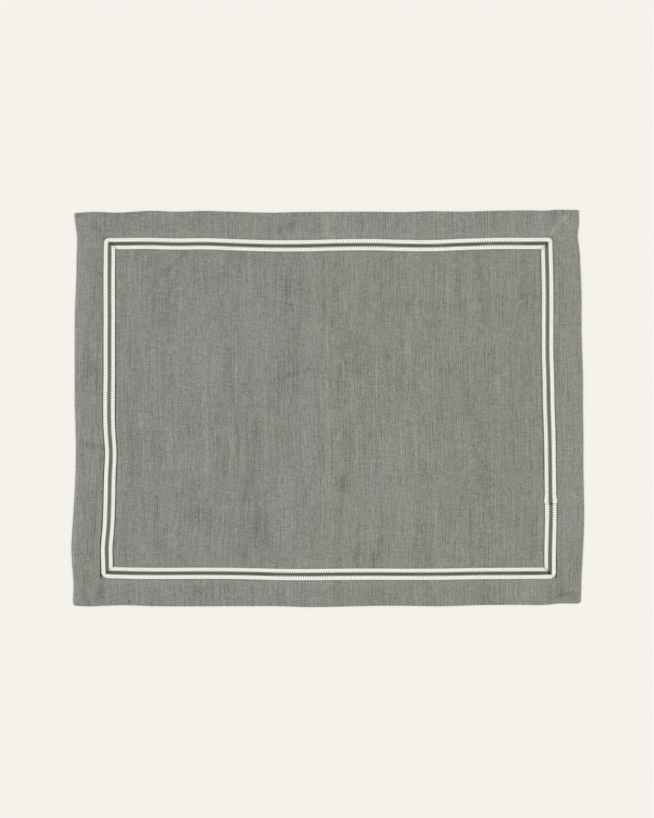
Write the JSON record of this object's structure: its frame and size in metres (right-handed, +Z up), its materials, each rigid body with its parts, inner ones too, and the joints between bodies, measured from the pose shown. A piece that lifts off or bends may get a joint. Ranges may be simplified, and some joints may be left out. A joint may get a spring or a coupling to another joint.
{
  "type": "placemat",
  "caption": "Flat grey-green woven cloth placemat with a turned hem and a white tape with a dark middle stripe sewn on as a border.",
  "frame": {"origin": "under the middle of the mat's outline, on the surface that it lies on", "axes": "+X along the mat's long side, +Y along its short side to the far edge, +Z up"},
  "size_m": [0.4545, 0.3525, 0.0034],
  "materials": {
    "cloth": "matt slubby plain weave, grey-green",
    "tape": "ribbed cotton tape, off-white with a dark olive middle stripe"
  },
  "bodies": {
    "root": {"cloth": "cloth", "tape": "tape"}
  },
  "joints": []
}
